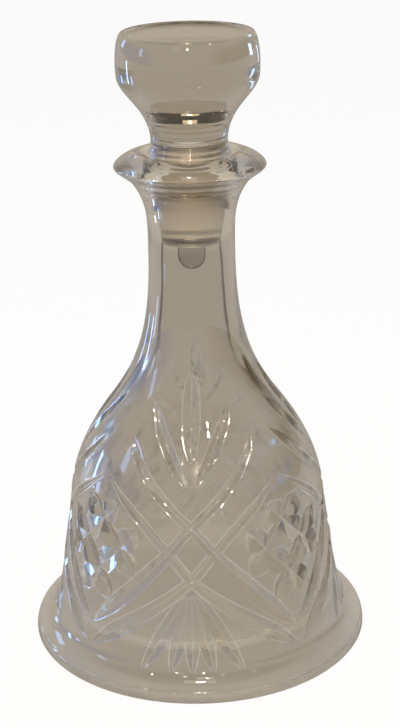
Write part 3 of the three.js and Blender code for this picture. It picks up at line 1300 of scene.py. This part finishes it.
class CARAFE_OT_stopper(bpy.types.Operator):
    """Turn the stopper and give it its glass"""

    bl_idname = "carafe.stopper"
    bl_label = "Drum stopper"

    def execute(self, context):
        scene = context.scene
        sizes, look = scene.carafe_stopper, scene.carafe_glass
        rim = scene.carafe_body.rim_height
        _, plug_end = seat_heights(scene)
        outline = [
            *plug_outline(scene.carafe_body.bore_radius - SEAT_CLEARANCE, plug_end),
            *seat_curve(scene, 0),
            (COLLAR_RADIUS, rim),
            *knob_outline(sizes, rim),
        ]
        stopper = turned("stopper_glass", outline)
        finish(stopper)
        mark_inside(stopper, lambda radius, height: height < rim)
        stopper.data.materials.clear()
        stopper.data.materials.append(stopper_glass(look, plug_end))
        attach(stopper, "stopper")
        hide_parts("stopper")
        return {"FINISHED"}


# Table, room, lamps and camera

TABLE_SIZE = 8
TABLE_GAP = 0.0001
TABLE_GLOW = 0.9
MOTTLE_SCALE = 30.0
MOTTLE_DEPTH = 0.01
WHITE_GLOW = (1, 1, 1, 1)
BACKDROP = (0.96, 0.96, 0.96, 1)
ROOM_TINT = (1.0, 0.97, 0.92)
ROOM_WALLS = (0.93, 0.92, 0.9)
ROOM_BACK = (0.7, 0.68, 0.65)
ROOM_EVENING = (0.22, 0.4, 1.0)
ROOM_DOOR = (0.2, 0.15, 0.09)
ROOM_CEILING = (0.2, 0.2, 0.21)

# Where each side of the room starts and is full, as shares of a ray's way along one axis

CEILING_UP = (0.55, 0.75)
CEILING_FRONT = (0.1, -0.0667)
DOOR_EAST = (0.5, 0.8333)
EVENING_WEST = (-0.7, -0.9)
SIDES_UP = (0.4, 0.15)

# Square lamps: name, azimuth and rise in degrees, distance and width in metres, watts

LAMP_AIM = 0.1
BULBS = (
    ("bulb_1", 8, 58, 1.3, 0.04, 1.2),
    ("bulb_2", -12, 50, 1.3, 0.035, 1.0),
    ("bulb_3", 22, 47, 1.3, 0.03, 0.6),
    ("bulb_4", -42, 47, 1.3, 0.035, 1.0),
    ("bulb_5", 47, 44, 1.3, 0.035, 1.0),
    ("bulb_6", 170, 72, 1.4, 0.06, 1.6),
    ("bulb_7", 0, 75, 1.3, 0.08, 3.0),
    ("bulb_8", 4, 30, 1.3, 0.05, 1.0),
    ("bulb_9", -16, 33, 1.3, 0.04, 0.5),
    ("shade_1", 0, 73, 1.35, 0.34, 0.7),
    ("shade_2", 7, 58, 1.35, 0.24, 0.4),
)

# Upright windows: name, azimuth in degrees, lowest and highest height, width in metres, watts

WINDOW_AWAY = 0.7
WINDOWS = (
    ("window_left", -123, 0.28, 0.46, 0.08, 0.3),
    ("window_middle", -106, 0.03, 0.2, 0.04, 0.4),
    ("window_right", -75, 0.29, 0.44, 0.08, 0.22),
    ("pane_1", -126, 0.0, 0.1, 0.07, 0.16),
    ("pane_2", -96, 0.0, 0.1, 0.06, 0.14),
)

# Camera, with its focus and shift in rows of a picture of the given height

PICTURE_ROWS = 728
CAMERA_AWAY = 0.6334
CAMERA_HEIGHT = 0.3656
CAMERA_TURN = 3.2
CAMERA_DOWN = 20.97
CAMERA_ROLL = -1.31
CAMERA_FOCUS = 1575.1
CAMERA_SHIFT = 5.62
SENSOR_SIZE = 36


def area_lamp(name, place, aim, size, power, colour):
    """Softbox at a place, facing the axis at a height."""
    bpy.ops.object.light_add(type="AREA", location=place)
    lamp = bpy.context.object
    lamp.name = name
    lamp.data.shape = "RECTANGLE"
    lamp.data.size, lamp.data.size_y = size
    lamp.data.energy = power
    lamp.data.color = colour
    way = Vector((0, 0, aim)) - Vector(place)
    lamp.rotation_euler = way.to_track_quat("-Z", "Y").to_euler()


def lay_table(look):
    """Pale table, which the camera and the glass see a little brighter than it is lit."""
    bpy.ops.object.select_all(action="DESELECT")
    bpy.ops.mesh.primitive_plane_add(size=TABLE_SIZE, location=(0, 0, -TABLE_GAP))
    table = bpy.context.object
    table.name = "table"
    material = bpy.data.materials.new("table_top")
    shader = Shader(material)
    where = shader.node("ShaderNodeTexCoord", output="Object")
    dark, pale = (rgba(look.table_colour, 1 + way * MOTTLE_DEPTH) for way in (-1, 1))
    colour = shader.mix(shader.noise(where, MOTTLE_SCALE, detail=3.0), dark, pale)
    cloth = shader.node("ShaderNodeBsdfDiffuse", {}, {"Color": colour})
    glow = shader.node("ShaderNodeEmission", {}, {"Color": WHITE_GLOW, "Strength": 1.0})
    seen = shader.ray("Is Camera Ray", "Is Glossy Ray", "Is Transmission Ray") * TABLE_GLOW
    surface = shader.node("ShaderNodeMixShader", {}, {0: seen, 1: cloth, 2: glow})
    shader.node("ShaderNodeOutputMaterial", {}, {"Surface": surface})
    table.data.materials.append(material)


def paint_room(world, look):
    """Room that shows in the glass, plain where the camera sees it and even as a light."""
    shader = Shader(world)
    where = shader.node("ShaderNodeTexCoord", output="Generated")
    east, north, up = (
        shader.node("ShaderNodeSeparateXYZ", {}, {0: where}, output=axis) for axis in "XYZ"
    )
    door = east.ramp(*DOOR_EAST) * up.ramp(*SIDES_UP)
    evening = east.ramp(*EVENING_WEST) * up.ramp(*SIDES_UP)
    overhead = shader.mix(north.ramp(*CEILING_FRONT), rgba(ROOM_BACK), rgba(ROOM_CEILING))
    shown = shader.mix(door, rgba(ROOM_WALLS), rgba(ROOM_DOOR))
    shown = shader.mix(evening, shown, rgba(ROOM_EVENING))
    shown = shader.mix(up.ramp(*CEILING_UP), shown, overhead)
    shown = shader.mix(shader.ray("Is Camera Ray"), shown, BACKDROP)
    seen = shader.ray("Is Camera Ray", "Is Glossy Ray", "Is Transmission Ray")
    colour = shader.mix(seen, rgba(ROOM_TINT, look.room_light), shown)
    light = shader.node("ShaderNodeBackground", {}, {"Color": colour, "Strength": 1.0})
    shader.node("ShaderNodeOutputWorld", {}, {"Surface": light})


def hang_lamps(look):
    """Small warm lamps round the carafe, and narrow windows at its left."""
    for name, angle, rise, away, width, power in BULBS:
        turn, tilt = math.radians(angle - 90), math.radians(rise)
        level = away * math.cos(tilt)
        height = LAMP_AIM + away * math.sin(tilt)
        place = (level * math.cos(turn), level * math.sin(turn), height)
        area_lamp(name, place, LAMP_AIM, (width, width), power, look.lamp_colour)
    for name, angle, low, high, width, power in WINDOWS:
        turn = math.radians(angle - 90)
        middle = (low + high) / 2
        place = (WINDOW_AWAY * math.cos(turn), WINDOW_AWAY * math.sin(turn), middle)
        area_lamp(name, place, middle, (width, high - low), power, look.window_colour)


def place_camera():
    """Camera in front of the carafe, looking down on it and rolled a little."""
    turn = math.radians(CAMERA_TURN)
    level = (CAMERA_AWAY * math.sin(turn), -CAMERA_AWAY * math.cos(turn))
    bpy.ops.object.camera_add(location=(*level, CAMERA_HEIGHT))
    camera = bpy.context.object
    camera.name = "camera"
    look_down = Euler((math.radians(90 - CAMERA_DOWN), 0, turn), "XYZ").to_matrix()
    roll = Matrix.Rotation(math.radians(CAMERA_ROLL), 3, "Z")
    camera.rotation_euler = (look_down @ roll).to_euler()
    camera.data.sensor_width = SENSOR_SIZE
    camera.data.lens = SENSOR_SIZE * CAMERA_FOCUS / PICTURE_ROWS
    camera.data.shift_x = CAMERA_SHIFT / PICTURE_ROWS
    return camera


class CARAFE_OT_studio(bpy.types.Operator):
    """Lay the table, hang the lamps and place the camera"""

    bl_idname = "carafe.studio"
    bl_label = "Table, lamps and camera"

    def execute(self, context):
        scene = context.scene
        look = scene.carafe_studio
        lay_table(look)
        scene.world = bpy.data.worlds.new("room")
        paint_room(scene.world, look)
        hang_lamps(look)
        scene.camera = place_camera()
        scene.view_settings.view_transform = "Standard"
        return {"FINISHED"}


# Panel, and start of the script


class CARAFE_PT_panel(bpy.types.Panel):
    """Pieces of the carafe, with the sizes and colours they are made from"""

    bl_label = "Crystal carafe"
    bl_idname = "CARAFE_PT_panel"
    bl_space_type = "VIEW_3D"
    bl_region_type = "UI"
    bl_category = "Carafe"

    def draw(self, context):
        layout = self.layout
        groups = (
            (CARAFE_OT_body, "carafe_body"),
            (CARAFE_OT_body, "carafe_cuts"),
            (CARAFE_OT_stopper, "carafe_stopper"),
            (CARAFE_OT_stopper, "carafe_glass"),
            (CARAFE_OT_studio, "carafe_studio"),
        )
        for operator, name in groups:
            box = layout.box()
            box.operator(operator.bl_idname)
            group = getattr(context.scene, name)
            for prop in group.bl_rna.properties:
                if prop.identifier not in ("rna_type", "name"):
                    box.prop(group, prop.identifier)


GROUPS = {
    "carafe_body": CarafeBody,
    "carafe_cuts": CarafeCuts,
    "carafe_stopper": CarafeStopper,
    "carafe_glass": CarafeGlass,
    "carafe_studio": CarafeStudio,
}
CLASSES = (
    *GROUPS.values(),
    CARAFE_OT_body,
    CARAFE_OT_stopper,
    CARAFE_OT_studio,
    CARAFE_PT_panel,
)


def register():
    for cls in CLASSES:
        bpy.utils.register_class(cls)
    for name, group in GROUPS.items():
        setattr(bpy.types.Scene, name, PointerProperty(type=group))


def unregister():
    for name in GROUPS:
        delattr(bpy.types.Scene, name)
    for cls in reversed(CLASSES):
        bpy.utils.unregister_class(cls)


def main():
    register()
    bpy.ops.carafe.studio()
    bpy.ops.carafe.body()
    bpy.ops.carafe.stopper()


if __name__ == "__main__":
    main()
